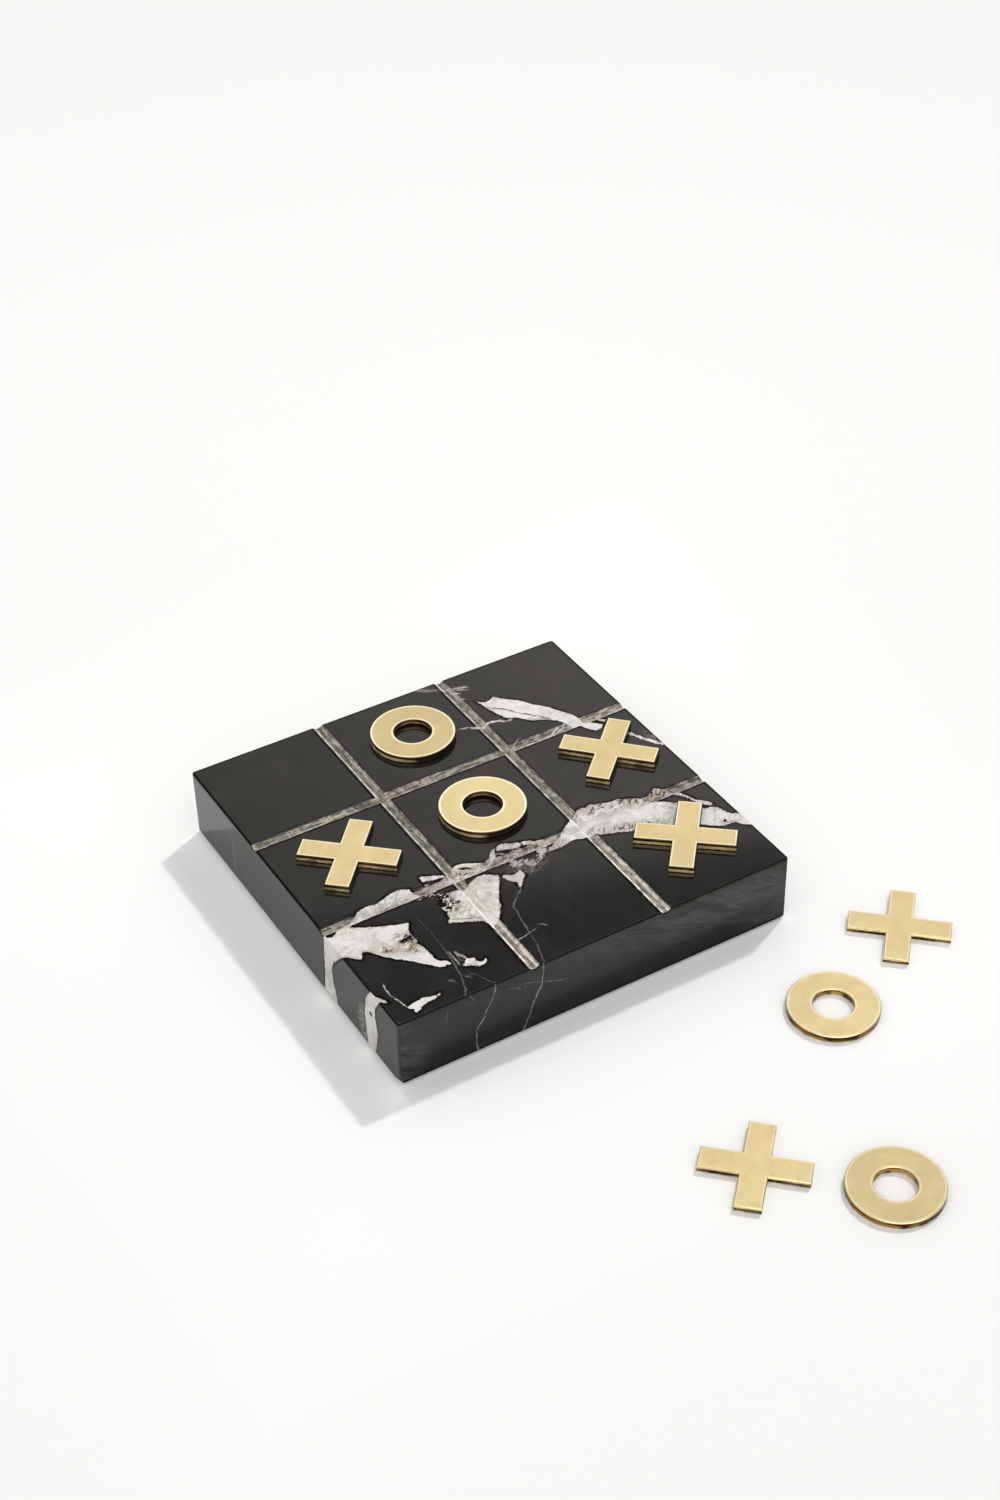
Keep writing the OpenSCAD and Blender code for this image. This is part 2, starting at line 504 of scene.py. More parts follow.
topVeins = {
    "patches": [
        [(31, 57.2), (32, 55.8), (33.5, 54.8), (35.5, 54.9), (37.5, 55.9), (38.8, 55), (40.5, 53),
         (42.5, 51), (44.8, 49), (46.5, 46), (48.5, 43.2), (50.5, 41), (52, 38.8), (54, 35.5), (56, 32),
         (57.3, 29), (57.6, 26.8), (58.5, 25), (60, 23.5), (61.3, 21.8), (62.5, 20.6), (61.3, 19),
         (58.8, 18.7), (57.3, 20.3), (56.3, 22), (55.3, 24), (52.8, 25.2), (52, 27), (51.3, 29.3),
         (50, 31.5), (48, 33), (46.3, 34.3), (44.5, 35.2), (42.5, 36), (41, 37.7), (39.5, 39.8),
         (37.8, 41.2), (36, 41.8), (35, 43), (34, 46), (33.2, 48.5), (32.5, 51), (32, 53.5)],
        [(8.5, -28.5), (10.5, -27.2), (13, -26), (15.5, -24.5), (18, -22.7), (20, -21.3), (22.5, -19.6),
         (24.5, -18.3), (26.5, -17), (28.5, -15.8), (30.5, -15.4), (31.6, -16.5), (32.8, -15.6),
         (34, -15.2), (35.5, -16.3), (38, -17.3), (40.5, -18.2), (43.5, -18), (45.5, -19), (48, -20.3),
         (50, -21.7), (51.5, -23.5), (53.5, -25.5), (55.5, -27.3), (57.5, -28.7), (59.8, -30.7),
         (61.5, -33), (64.5, -36.5), (66.5, -38.4), (68.5, -38.7), (70, -39.5), (70.8, -41.5), (71.3, -44),
         (72.5, -45.8), (74, -46), (76, -47.5), (76, -54), (73.5, -53.3), (72, -51.5), (71, -50),
         (69.5, -49.7), (67.5, -49.8), (65.8, -49.3), (64.5, -48.2), (62.5, -46.5), (60, -44.6),
         (55, -41.5), (50, -38.8), (45, -36.6), (39.8, -35.3), (38, -35), (35.5, -34), (33, -32.7),
         (30.5, -31.7), (28.3, -31), (27.4, -29.6), (22.5, -29.5), (20, -28.3), (17, -28.8), (14, -29.3),
         (11, -29.3)],
        [(52, -22.6), (54, -21.8), (55.6, -21.9), (56.5, -20.6), (57.3, -19.9), (59, -21), (60.5, -22.5),
         (62, -24.5), (63.5, -26.3), (64.5, -28), (65.6, -30.5), (66.2, -32.7), (67.5, -33.8), (69, -35.3),
         (70.2, -37.5), (69, -38), (67.4, -36.5), (66.3, -34.6), (65.2, -33), (64.6, -31), (63.6, -29),
         (62.2, -27.2), (60.5, -25.6), (58.5, -24.6), (56.8, -24), (55.5, -23.2)],
        [(-76, -28.6), (-75, -27.2), (-73.5, -27.9), (-71.8, -27.2), (-70.3, -26.2), (-68.5, -25.2),
         (-66.6, -26.6), (-65, -27.5), (-62, -29.5), (-60, -30.3), (-57, -31.8), (-54, -33.2),
         (-51.5, -34.3), (-48.6, -35.2), (-49.8, -36.4), (-50.5, -38), (-50.7, -39.8), (-51.3, -41.4),
         (-50.8, -43), (-51.3, -45), (-50.5, -47), (-50.2, -49), (-50, -52), (-50, -54.5), (-49, -56.2),
         (-47.8, -57), (-46.8, -57.6), (-46.9, -59.2), (-47.6, -59.3), (-48.2, -58.6), (-49, -59.6),
         (-50.5, -58.6), (-52.5, -56.5), (-55, -53.6), (-58, -50.2), (-59.3, -48.9), (-60.3, -48.8),
         (-62, -46.3), (-64.3, -43.6), (-65, -42.5), (-66.3, -40.3), (-67.5, -39.4), (-68.5, -39.6),
         (-69.4, -41.2), (-70, -42.3), (-71.5, -41), (-73.5, -38.8), (-76, -38)],
        [(-68.5, -25.3), (-65, -24.7), (-62, -22.9), (-60, -21.6), (-58.5, -21.1), (-56, -20.9),
         (-54, -21.5), (-52, -21), (-50.5, -20.7), (-48, -19.6), (-46, -19.4), (-44, -19.1), (-42, -19.9),
         (-40.3, -20.7), (-40.6, -22), (-39.6, -23.6), (-37.5, -24.8), (-35.5, -25.6), (-34, -26.4),
         (-36, -27.4), (-39, -26.9), (-42.5, -25.8), (-45, -24.8), (-50, -24.2), (-55, -24.9), (-60, -26),
         (-66.5, -26.3)],
        [(-35, -17.4), (-33.6, -17.4), (-31, -18.8), (-28, -20.2), (-26.8, -21), (-27.6, -21.7),
         (-30, -21.2), (-33, -20.4), (-35, -19.9)],
        [(-35, -21.9), (-33, -22.5), (-30.5, -22.9), (-28.5, -22.4), (-26.5, -22), (-24, -22.4),
         (-22, -22.9), (-19.5, -23.9), (-16.5, -25), (-17.5, -26), (-22, -25.6), (-26, -25.6), (-30, -25.7),
         (-34, -25.2)],
        [(-24.8, -20.9), (-23.6, -19.4), (-21.3, -18.6), (-19, -18.9), (-17, -20), (-14.6, -21.4),
         (-12.5, -22.4), (-13.2, -23.6), (-15.5, -24.9), (-18, -24.4), (-20, -23.3), (-22.5, -22.5),
         (-25, -22.2)],
        [(-6.3, -18.9), (-4.7, -17.6), (-2.8, -17.1), (-0.6, -18.3), (2.2, -19.2), (2.9, -20.8),
         (1.6, -21.9), (-1, -21.2), (-3.3, -20.1), (-5.2, -19.7)],
        [(3.2, -19.4), (5.2, -20.4), (8, -21.9), (10.4, -22.5), (12.6, -23.6), (13.6, -25), (10.5, -24.9),
         (7.5, -24.2), (5, -22.7), (3.2, -21.5)],
        [(-1.9, -23.2), (-0.5, -22.4), (1.5, -22.2), (2.6, -22.9), (2.1, -24.6), (0.8, -25.3), (-0.8, -25)],
        [(-5.3, -26.8), (-3.5, -27.3), (-1, -27.4), (1, -28), (1.6, -30), (2.6, -31.8), (0.8, -32.7),
         (-0.8, -31.8), (-1.8, -30.3), (-3.2, -31), (-4.6, -30.4)],
        [(-11, -31.3), (-9.4, -32), (-7.6, -33), (-5.4, -32.7), (-4.6, -31.8), (-4.1, -33.8), (-4.6, -35.6),
         (-5.8, -36.7), (-7.2, -38.3), (-8.9, -39.8), (-8.7, -38.2), (-7.8, -36.7), (-9.4, -35.5),
         (-10.5, -33.9)],
        [(5.6, -26), (7.2, -25.3), (9.5, -26.4), (9, -28), (6.8, -29.6), (4.4, -31.2), (2.9, -31.8),
         (3.4, -30.2), (5.2, -28.4)],
        [(-33.2, -28.6), (-30.5, -29.3), (-27, -29.6), (-23.6, -30), (-21.8, -28.8), (-20, -27.9),
         (-18.2, -27.1), (-16, -27.6), (-13.5, -29), (-11.7, -30.4), (-12.3, -32), (-14, -34.5),
         (-15.5, -37), (-17.3, -40), (-18.7, -42.6), (-18.6, -43.9), (-20, -44.9), (-20.6, -46.5),
         (-22.5, -48.7), (-24.2, -50.3), (-25.8, -50.8), (-26.8, -49), (-27.5, -47.3), (-31, -45.6),
         (-34, -43.9), (-37.6, -42.1), (-37, -41), (-36.2, -40.2), (-36, -38.5), (-35.1, -37),
         (-35.9, -35.6), (-35, -34.2), (-34.6, -31)],
        [(-68.2, -69), (-66, -68.6), (-63.5, -68.3), (-62.5, -67.9), (-60.5, -68.6), (-58, -69.3),
         (-56, -68.9), (-57, -69.9), (-58.5, -70.4), (-61, -70.5), (-63.5, -71), (-65.5, -72.2),
         (-66.7, -73), (-67.2, -72.3), (-66.8, -70.9), (-68, -70.3)],
        [(-76, -58.5), (-75, -58.8), (-73.8, -60.8), (-72.8, -62.8), (-72.2, -64.5), (-73.2, -63.9),
         (-74.3, -62.9), (-76, -62.8)],
        [(-44.2, -61.7), (-42.3, -61), (-41.8, -59.8), (-41.3, -58.6), (-40.8, -60.3), (-39.2, -61),
         (-39.3, -62.5), (-38.4, -63.8), (-37, -63.8), (-36, -62.9), (-36.5, -64.4), (-38, -65.1),
         (-39.6, -65), (-41, -63.8), (-43.3, -62.8)],
        [(61.9, 24.6), (63, 24.3), (64.4, 23.2), (65.2, 22), (63.9, 21.6), (63, 22.6)],
        [(-14.5, -25.9), (-11.5, -24.3), (-8.7, -22.4), (-7.2, -20.6), (-6.6, -18.8), (-7.8, -19.3),
         (-9.2, -21.4), (-11.8, -22.9), (-15.2, -25.2)],
        [(-4.2, -22.4), (-2, -22.8), (-1.4, -24.2), (-2.2, -25.9), (-5.5, -26), (-9.5, -25.9), (-9, -24.8),
         (-6, -24.2)],
        [(2.8, -25.8), (3.6, -24.4), (5.6, -23.3), (9, -23.8), (12.2, -24.4), (11, -26), (6, -26.4)],
    ],
    "holes": [
        [(-22.4, -20.2), (-20.3, -20.5), (-18.4, -21.4), (-17.2, -22.7), (-18.8, -22.5), (-20.5, -21.5),
         (-22, -21)],
        [(-31.4, -35.5), (-30.2, -33.9), (-28.8, -34.7), (-29.8, -35.7)],
        [(-55.4, -41.4), (-54.6, -40.5), (-53.6, -41), (-54.2, -41.9)],
        [(-52.6, -41.3), (-52, -40.3), (-50.9, -40.5), (-51.4, -41.6)],
        [(67.5, -47.2), (68.2, -46.6), (69, -46.9), (68.8, -47.9), (67.9, -48)],
        [(2.4, -22.2), (2.8, -19.6), (3.1, -17), (3.5, -19.4), (3.4, -22)],
        [(-36.8, -29.6), (-35.6, -28.6), (-34.6, -29.3), (-35.4, -30.4)],
        [(-35.6, -33.8), (-34.3, -32.3), (-33.4, -33.2), (-34.2, -34.5)],
    ],
    "strandsA": [
        (0.85, 1.0, [(68, 10.6), (70, 7), (71.5, 4), (73, 1.5), (74.6, -0.5), (76, -2)]),
        (0.45, 0.9, [(45, 25.4), (47.5, 26.3), (50.5, 27.8), (52, 28.4)]),
        (0.42, 0.72, [(18.3, 45.5), (20.5, 44.8), (22.5, 43.7), (25.5, 43.2), (29, 43.6), (31.5, 42.3),
         (33.5, 41), (35.5, 40.5), (37.5, 41.7)]),
        (0.95, 0.62, [(14.8, 76), (16.5, 74), (19.3, 72.4), (21.6, 70.9)]),
        (0.45, 0.9, [(-15.5, -25), (-12, -22.8), (-9.3, -21), (-7.6, -19), (-6.8, -18.4)]),
        (0.4, 0.6, [(-5.2, -26.8), (-4.6, -30), (-4.7, -33)]),
        (0.24, 0.7, [(-70, -56.8), (-70.3, -61.5)]),
        (0.24, 0.24, [(-45.2, -34.6), (-45.1, -36), (-44.9, -45), (-45.2, -53)]),
        (0.3, 0.36, [(-45.2, -53), (-45.8, -59), (-46.3, -63), (-47, -67), (-48.5, -71), (-49.8, -73.5),
         (-50.5, -76)]),
        (0.24, 0.42, [(-8.9, -39.8), (-10.5, -41.5), (-13.5, -44), (-15.5, -46.5), (-16.2, -50),
         (-16.9, -54), (-17.8, -60), (-18.9, -66.7), (-21.1, -74.4), (-21.5, -76)]),
        (0.35, 0.5, [(-1.2, -34.8), (1, -33), (4, -31.5), (6.5, -30), (9, -29.3), (12, -29.2)]),
    ],
    "strandsB": [
        (0.3, 0.7, [(-8.3, -22.2), (-7, -20.8), (-5.5, -21.3), (-4.2, -22.6)]),
        (0.18, 0.6, [(-70.2, -61), (-69.9, -63)]),
        (0.26, 0.85, [(-69.8, -64), (-69.2, -65.6), (-68.6, -68)]),
        (0.3, 0.6, [(-44.6, -55), (-44.3, -60.6)]),
        (0.45, 0.8, [(-42.5, -56), (-41.6, -59.5)]),
        (0.22, 0.3, [(-43.9, -65.6), (-41.7, -70), (-39.4, -74.4), (-39.4, -76)]),
        (0.2, 0.7, [(-22.4, -61), (-16.1, -59.8)]),
        (0.35, 0.6, [(-12.5, -58.7), (-11.9, -59.2)]),
        (0.15, 0.3, [(-13, -42), (-7, -40)]),
        (0.45, 0.8, [(27, 26), (29.5, 27.4), (31.8, 28.8)]),
        (0.95, 1.0, [(22.9, 43.3), (25, 42.9), (27.6, 43.2)]),
        (0.6, 0.95, [(29.6, 43.2), (31.2, 42.6), (32.6, 42)]),
        (0.9, 0.9, [(24.9, 70.3), (26.2, 69.4), (27, 68.2)]),
        (0.65, 0.9, [(26.5, 66.6), (27.8, 65.2)]),
        (0.6, 0.85, [(29.2, 67.9), (30.6, 67.3), (31.8, 66.9)]),
        (0.5, 0.7, [(27, 61.5), (28, 60.6)]),
        (0.6, 0.95, [(30, 25), (33, 25.4), (37, 25.1), (40, 25.2), (43, 25.5), (45.5, 26.6), (47.5, 27.8)]),
        (0.35, 0.4, [(-50.6, -66), (-50.2, -66.8)]),
        (0.35, 0.4, [(-45.6, -66.8), (-45.1, -67.6)]),
    ],
    "cracks": [
        (0.4, 0.9, [(33, 51), (36, 48.5), (38.5, 46.3), (39.5, 44), (41.8, 41.5), (43.8, 39.3),
         (45.5, 37.2), (48, 33.8)]),
        (0.35, 0.8, [(-36.2, -41.1), (-33, -42.6), (-30, -44.1), (-27.5, -45.4)]),
        (0.5, 0.9, [(-35, -20.7), (-32, -21.6), (-29, -22.1)]),
        (0.3, 0.6, [(29, -19), (31, -18.3), (33, -19.6), (35, -19)]),
        (0.3, 0.6, [(43.6, -22.2), (44.6, -20.8), (44.9, -19.4)]),
        (0.3, 0.5, [(30, -30.2), (33.5, -31.2), (36.5, -29.8), (40, -31.5)]),
        (0.35, 0.7, [(51, -23), (52.6, -22.7), (54, -23.6)]),
        (0.3, 0.6, [(32, -27.4), (33.4, -27), (35, -27.4)]),
        (0.3, 0.6, [(47, -27.4), (48.3, -26.9)]),
    ],
    "shatter": [
        (-2, -28, 10, 4, -6, 0.55),
        (2, -24.3, 11, 2.6, -6, 0.6),
        (-26, -23.8, 10, 2.0, -4, 0.5),
        (-33.5, -32, 3.2, 6, 8, 1.0),
        (-39, -26.5, 4, 2, 0, 0.8),
        (-53.2, -42.2, 2.6, 3.0, 20, 0.95),
        (-53.6, -47, 1.6, 2.4, 20, 0.6),
        (-61, -42.8, 2.2, 1.6, -30, 0.6),
        (-30, -41, 4, 3, -20, 0.3),
        (13, -27.6, 5, 1.8, 15, 0.4),
    ],
    "tan": [
        (-47, -25.2, 12, 1.6, 0, 1.0),
        (-33, -24.5, 7, 2.2, 0, 0.8),
        (-18, -36, 8, 10, -30, 0.35),
        (-53, -43.5, 3.5, 6, 20, 1.0),
        (-60.5, -43, 4, 3, -30, 0.6),
        (-31, -40, 7, 6, -25, 0.45),
        (-21, -34, 5, 7, -30, 0.4),
        (9, -24, 7, 2.5, -10, 0.7),
        (57, -23, 5, 2.5, 0, 0.9),
        (0, -24, 3, 2, 0, 0.5),
        (-66, -30, 7, 3, -20, 0.25),
    ],
    "dim": [
        (-7.5, -34.8, 5, 5, 0, 0.55),
        (-1, -29.8, 6, 4.5, 0, 0.9),
        (7, -28.5, 4, 3.5, 0, 0.7),
        (1, -24.5, 6, 2, 0, 0.5),
        (-9, -24.5, 4, 1.8, 0, 0.5),
        (18, 73, 6, 2.5, -30, 0.7),
        (38, -17.5, 16, 2.2, -10, 0.45),
        (36, -31.5, 9, 2.6, -20, 0.4),
        (57, -22.5, 6, 3, -20, 0.5),
        (-58, -45.5, 3.5, 2.5, -40, 0.5),
        (-22, -31, 9, 12, -30, 0.12),
    ],
    "haze": [
        (19, 72.8, 4.5, 1.4, -38, 0.7),
        (30, 67, 3.2, 1.3, -35, 1.0),
        (74, 5, 1.6, 3.5, 20, 0.7),
        (-1, -31, 6, 3.5, 0, 0.6),
    ],
    "streaked": [
        (38, -19.5, 16, 4, -12, 1.0),
        (38, -31, 13, 3.5, -20, 1.0),
        (60, -36, 14, 9, -40, 0.45),
        (-54, -23.5, 16, 3, 8, 0.3),
        (-20, -23, 16, 4, 0, 0.4),
        (2, -21, 12, 4, -10, 0.3),
        (59, -24, 9, 5, -40, 0.9),
    ],
}

leftVeins = {
    "patches": [
        [(-25.3, -1), (-25.5, 2.4), (-24.8, 10), (-24.1, 18.8), (-23, 28), (-32.5, 28), (-31.6, 21.5),
         (-30.3, 17), (-29.8, 12.4), (-31.2, 7.9), (-35.3, 3.3), (-39, -1)],
        [(-57, -1), (-56.6, 0.6), (-53.9, 4.3), (-52.8, 9), (-52.3, 13), (-52.5, 18), (-53, 23),
         (-53.5, 28), (-57, 28), (-58.5, 25), (-59.4, 20.6), (-60.7, 15.2), (-59.8, 11.5), (-59.4, 6.1),
         (-61.2, 2.4), (-64, -1)],
    ],
    "holes": [
        [(-57.4, 9.2), (-56.4, 8.6), (-55.5, 9.4), (-55.8, 10.6), (-57, 10.9)],
    ],
    "haze": [
        (-51, 19, 3.2, 8, 0, 1.0),
        (43.5, 17, 1.2, 10, 0, 0.25),
    ],
    "tan": [
        (-57.5, 22, 1.5, 4, 0, 0.5),
    ],
}

frontVeins = {
    "strandsA": [
        (0.3, 0.45, [(-39.4, -1), (-40.7, 5.7), (-44.9, 13.2), (-47, 17.5), (-46.8, 26)]),
        (0.32, 0.5, [(-21.5, -1), (-22.4, 8.5), (-24.8, 13), (-27.2, 19.6), (-29.9, 26)]),
        (0.2, 0.3, [(-49.6, -1), (-47.8, 2.8)]),
        (0.2, 0.3, [(-57.2, 3), (-57.6, 7)]),
        (0.3, 0.18, [(62, 23.5), (67, 20), (72.5, 17)]),
        (0.3, 0.12, [(58, 22.6), (64, 21.2), (70, 20.6)]),
    ],
    "strandsB": [
        (0.25, 0.35, [(-30.5, 4.4), (-25, 6.6), (-20, 8.7), (-13, 11)]),
        (0.25, 0.25, [(-34.5, 4.6), (-29, 7.2)]),
        (0.4, 0.2, [(-67.5, 8), (-65.5, 9)]),
    ],
    "smokeAndSheen": [
        (44, 6, 46, 9, 6, 1.0),
        (-10, 4, 30, 4, 0, 0.35),
        (67, 15, 12, 14, 0, 0.6),
        (-70, 15, 5, 9, 0, 0.8),
        # this narrow spot lightens the face along its rounded left corner: a painted highlight; the other
        # spots are grey smoke in the stone
        (-74.2, 12, 3.4, 16, 0, 1.3),
        (-48, 5, 20, 4, 0, 0.25),
    ],
    "dull": [
        (0, 13, 900, 60, 0, 0.5),
        (0, 36, 900, 24, 0, 1.0),
        (0, 26, 900, 2.2, 0, 1.0),
    ],
}

rightVeins = {
    "patches": [
        [(-47.5, -1), (-49, 8), (-52, 17), (-53, 28), (-57, 28), (-56.5, 16), (-54.5, 7), (-54.3, -1)],
    ],
    "strandsA": [
        (0.8, 0.9, [(-1.5, -1), (-4, 8), (-6.5, 15), (-7, 28)]),
    ],
    "haze": [
        (3, 5, 2.5, 6, 0, 0.3),
        (-46, 14, 2.5, 9, 0, 0.3),
    ],
}

backVeins = {
    "strandsA": [
        (0.4, 0.7, [(18, -1), (21, 8), (20, 16), (24, 28)]),
        (0.3, 0.45, [(48, -1), (44, 9), (45, 20), (41, 28)]),
    ],
    "haze": [
        (18, 5, 4, 5, 0, 0.35),
    ],
    "smokeAndSheen": [
        (-30, 12, 45, 10, 10, 0.6),
    ],
}

grooveTones = [     # soft spots where the saw marks are lighter
    (0, -62, 95, 30, 0, 0.45),
    (-52, 26, 28, 6, 0, 0.22),
    (66, 26, 14, 6, 0, 0.3),
    (25, -58, 5, 20, 0, 0.25),
    (-25, 10, 5, 14, 0, -0.18),
]

veinReach = {
    "farthest": 6.0,         # distances are cut off here
    "gateNear": 0.9,         # a strand's width fades out between these distances from it
    "gateFar": 1.9,
    "curveSteps": 5,
    "spotLevel": 1.6,        # at the middle of a soft spot, before it is cut off at 1
    "spotSlope": 1.1,        # how much of it is lost per half length
}


def smoothPath(points):
    last = len(points) - 1
    path = []
    for index in range(last):
        four = [points[min(max(index + step, 0), last)] for step in (-1, 0, 1, 2)]
        before, start, end, after = (np.array(point, float) for point in four)
        for step in range(veinReach["curveSteps"]):
            t = step / veinReach["curveSteps"]
            bend = 2 * before - 5 * start + 4 * end - after
            twist = 3 * start - before - 3 * end + after
            path.append(tuple((2 * start + (end - before) * t + bend * t * t + twist * t ** 3) / 2))
    return path + [points[-1]]


def fromSegment(spots, start, end):
    start = np.array(start, float)
    way = np.array(end, float) - start
    along = np.clip((spots - start) @ way / (way @ way), 0.0, 1.0)
    gap = spots - start - along[:, None] * way
    side = np.sign(way[0] * (spots[:, 1] - start[1]) - way[1] * (spots[:, 0] - start[0]))
    return np.hypot(gap[:, 0], gap[:, 1]), side


def insideOutline(spots, outline):
    nearest = np.full(len(spots), veinReach["farthest"])
    inside = np.zeros(len(spots), bool)
    for start, end in zip(outline, outline[1:] + outline[:1]):
        nearest = np.minimum(nearest, fromSegment(spots, start, end)[0])
        if start[1] != end[1]:
            crossing = start[0] + (spots[:, 1] - start[1]) * (end[0] - start[0]) / (end[1] - start[1])
            inside ^= ((start[1] > spots[:, 1]) != (end[1] > spots[:, 1])) & (spots[:, 0] < crossing)
    return np.where(inside, nearest, -nearest)


def besideStrands(spots, strands):
    nearest = np.full(len(spots), veinReach["farthest"])
    signed = nearest.copy()
    halfWidth = np.zeros(len(spots))
    strength = np.zeros(len(spots))
    for half, tone, points in strands:
        path = smoothPath(points)
        for start, end in zip(path, path[1:]):
            away, side = fromSegment(spots, start, end)
            closer = away < nearest
            nearest[closer] = away[closer]
            signed[closer] = (away * side)[closer]
            halfWidth[closer] = half
            strength[closer] = tone
    gate = (veinReach["gateFar"] - nearest) / (veinReach["gateFar"] - veinReach["gateNear"])
    return signed, halfWidth * np.clip(gate, 0.0, 1.0), strength


def softSpots(spots, blobs):
    most = np.zeros(len(spots))
    for x, y, longHalf, shortHalf, turn, strength in blobs:
        angle = math.radians(turn)
        dx = spots[:, 0] - x
        dy = spots[:, 1] - y
        along = (dx * math.cos(angle) + dy * math.sin(angle)) / longHalf
        across = (dy * math.cos(angle) - dx * math.sin(angle)) / shortHalf
        level = veinReach["spotLevel"] - veinReach["spotSlope"] * np.hypot(along, across)
        most = np.maximum(most, strength * np.clip(level, 0.0, 1.0))
    return most


def sheetFields(spots, shapes):
    patch = np.full(len(spots), -veinReach["farthest"])
    for outline in shapes.get("patches", []):
        patch = np.maximum(patch, insideOutline(spots, outline))
    for outline in shapes.get("holes", []):
        patch = np.minimum(patch, -insideOutline(spots, outline))
    fields = {"patch": patch}
    for kind in ("strandsA", "strandsB", "cracks"):
        signed, halfWidth, strength = besideStrands(spots, shapes.get(kind, []))
        fields[kind + "Away"] = signed
        fields[kind + "Half"] = halfWidth
        fields[kind + "Tone"] = strength
    for name in ("shatter", "tan", "dim", "haze", "streaked", "smokeAndSheen", "dull"):
        fields[name] = softSpots(spots, shapes.get(name, []))
    return fields


def nearestGroove(across, centres):
    offsets = np.array([across - centre / mm for centre in centres])
    return offsets[np.argmin(np.abs(offsets), axis=0), np.arange(len(across))]


def paintSlab(mesh):
    count = len(mesh.vertices)
    places = np.empty(count * 3)
    mesh.vertices.foreach_get("co", places)
    x, y, z = places.reshape(-1, 3).T / mm
    honed = np.empty(count)
    mesh.attributes["honed"].data.foreach_get("value", honed)
    onSide = honed > 0.5
    onX = np.abs(x) >= np.abs(y)
    depth = slabTop / mm - z
    sheets = (
        (topVeins, ~onSide, x, y),
        (leftVeins, onSide & onX & (x < 0), y, depth),
        (rightVeins, onSide & onX & (x > 0), y, depth),
        (frontVeins, onSide & ~onX & (y < 0), x, depth),
        (backVeins, onSide & ~onX & (y > 0), x, depth),
    )
    fields = {}
    for shapes, chosen, across, down in sheets:
        spots = np.stack([across[chosen], down[chosen]], axis=1)
        for name, values in sheetFields(spots, shapes).items():
            fields.setdefault(name, np.zeros(count))[chosen] = values
    halfWidth = slabShape["grooveWidth"] / 2 / mm
    fromX = nearestGroove(x, slabShape["grooveX"])
    fromY = nearestGroove(y, slabShape["grooveY"])
    within = halfWidth - np.minimum(np.abs(fromX), np.abs(fromY))
    fields["sawn"] = np.where(onSide, -halfWidth, np.clip(within, -3.0, 3.0))
    fields["sawnAlongX"] = (np.abs(fromY) < np.abs(fromX)).astype(float)
    fields["besideX"] = fromX / halfWidth
    fields["besideY"] = fromY / halfWidth
    fields["sawnTone"] = softSpots(np.stack([x, y], axis=1), grooveTones) + 1.0
    for name, values in fields.items():
        mesh.attributes.new(name, "FLOAT", "POINT").data.foreach_set("value", values.astype(np.float32))


marbleLook = {
    "black": (0.0085, 0.0075, 0.0065),
    "blackMarks": (0.0160, 0.0142, 0.0130),
    # edge: the darker tone of the painted edge shade, also used for the veins' dark seams and gaps
    "edge": (0.0040, 0.0036, 0.0032),
    "smokeAndSheen": (0.052, 0.052, 0.053),
    "white": (0.80, 0.78, 0.75),
    # grey smoke in the stone, also used for a painted highlight at the front face's left corner
    "grey": (0.38, 0.365, 0.35),
    "dimmed": (0.36, 0.33, 0.325),
    "blush": (0.50, 0.42, 0.375),
    "tan": (0.46, 0.375, 0.285),
    "brown": (0.080, 0.044, 0.031),
    "crack": (0.10, 0.088, 0.078),
    "sawnLight": (0.44, 0.395, 0.325),
    "sawnDark": (0.10, 0.084, 0.066),
    "sawnNick": (0.040, 0.033, 0.027),
    # the two lip tones are painted highlights on the groove walls that face the light, in bare stone and
    # where a vein is cut
    "sawnLipHighlight": (0.74, 0.70, 0.63),
    "veinLipHighlight": (0.97, 0.955, 0.93),
    "shardReach": 14.0,     # mm, how far a shattered border strays
    "relief": 0.22,         # mm, how deep the saw marks are
    "polish": 0.05,
    "veinPolish": 0.14,
    "sidePolish": (0.06, 0.13),
    "sawnRough": 0.85,
    "mirror": 0.5,          # how much of the light the polished faces, the dull sides and the edged places mirror; edged places carry the painted edge shade and the veins' seams and gaps
    "dullMirror": 0.17,
    "edgeMirror": 0.08,
}

# each pattern's marks: their size along x, y and z in mm, and how far they are turned
marbleMarks = {
    "wisps": ((14.0, 11.0, 3.2), 0.0),
    "streaks": ((4.0, 0.9, 3.0), -0.5),
    "threads": ((2.4, 1.2, 2.0), -0.7),
    "blush": ((2.2, 1.1, 1.5), 0.5),
    "dashes": ((2.1, 0.9, 1.5), 0.75),
    "shards": ((2.2, 1.1, 2.0), 0.25),
    "mist": ((1.6, 0.9, 1.2), -0.6),
    "gaps": ((1.9, 0.9, 1.3), 0.5),
    "scoreAlongX": ((6.0, 0.5, 3.0), 0.0),
    "scoreAlongY": ((0.5, 6.0, 3.0), 0.0),
}
wispLean = 0.36     # radians, the wisps slant down to the right on the front

# bands along a groove: the middle and the reach, in half widths from its centre line
grooveBands = {
    "nearEdge": (-1.22, 0.36),
    "farEdge": (1.2, 0.2),
    # the three lips are where the painted highlights on the groove walls lie
    "leftLip": (-0.62, 0.36),
    "rightLip": (0.66, 0.34),
    "frontLip": (-0.70, 0.34),
    "channelShade": (0.05, 0.5),
}


def strandMask(spot, kind):
    wobble = plus(swing(spot, 0.32, 1.3), swing(spot, 1.4, 0.5))
    away = calc("ABSOLUTE", plus(readValue(kind + "Away"), wobble))
    half = readValue(kind + "Half")
    width = times(half, ramp(noiseAt(spot, 0.55), 0.3, 0.7, 0.35, 1.3))
    line = times(ramp(minus(away, width), -0.15, 0.12, 1.0, 0.0), ramp(half, 0.01, 0.08))
    return times(line, calc("POWER", readValue(kind + "Tone"), 2.0))


